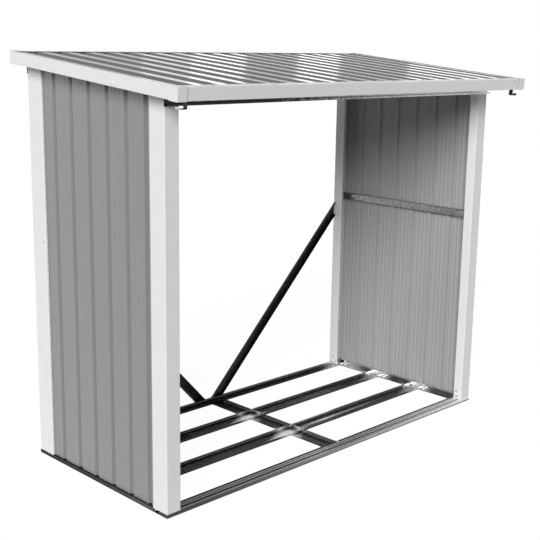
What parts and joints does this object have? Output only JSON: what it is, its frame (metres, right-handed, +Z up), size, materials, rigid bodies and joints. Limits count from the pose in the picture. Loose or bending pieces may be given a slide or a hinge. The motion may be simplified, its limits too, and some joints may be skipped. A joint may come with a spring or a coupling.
{
  "type": "open-fronted log store",
  "caption": "Free-standing sheet-steel log store with ribbed side walls, a sloping ribbed roof, an open front and back, and a low slatted floor frame.",
  "frame": {"origin": "on the ground under the middle of the roof", "axes": "+X to the right along the open front, +Y to the back, +Z up"},
  "size_m": [1.723, 0.8622, 1.409],
  "materials": {
    "floor_frame": "galvanised, folded strip",
    "post": "off-white coil coating, satin",
    "wall_sheet": "mid grey coil coating, satin, with rolled beads in its pans",
    "wall_rail": "galvanised",
    "header": "galvanised with spangle",
    "brace": "galvanised",
    "roof_sheet": "mid grey coil coating, satin",
    "trim": "off-white coil coating, satin",
    "corner_cap": "off-white coil coating, satin",
    "clip": "galvanised"
  },
  "bodies": {
    "root": {"base_front_sill": "floor_frame", "base_back_rail": "floor_frame", "base_left_rail": "floor_frame", "base_right_rail": "floor_frame", "base_cross_member": "floor_frame", "floor_rail_front_left": "floor_frame", "floor_rail_front_right": "floor_frame", "floor_rail_back_left": "floor_frame", "floor_rail_back_right": "floor_frame", "post_front_left": "post", "post_front_right": "post", "post_back_left": "post", "post_back_right": "post", "wall_panel_left": "wall_sheet", "wall_panel_right": "wall_sheet", "mid_rail_left": "wall_rail", "mid_rail_right": "wall_rail", "top_rail_left": "wall_rail", "top_rail_right": "wall_rail", "header_front_left": "header", "header_front_right": "header", "header_back_left": "header", "header_back_right": "header", "brace_left": "brace", "brace_right": "brace", "roof_sheet_left": "roof_sheet", "roof_sheet_middle": "roof_sheet", "roof_sheet_right": "roof_sheet", "trim_side_left": "trim", "trim_side_right": "trim", "trim_front_left": "trim", "trim_front_right": "trim", "trim_back_left": "trim", "trim_back_right": "trim", "corner_cap_front_left": "corner_cap", "corner_cap_front_right": "corner_cap", "corner_cap_back_left": "corner_cap", "corner_cap_back_right": "corner_cap", "front_clip_left": "clip", "front_clip_right": "clip"}
  },
  "joints": []
}
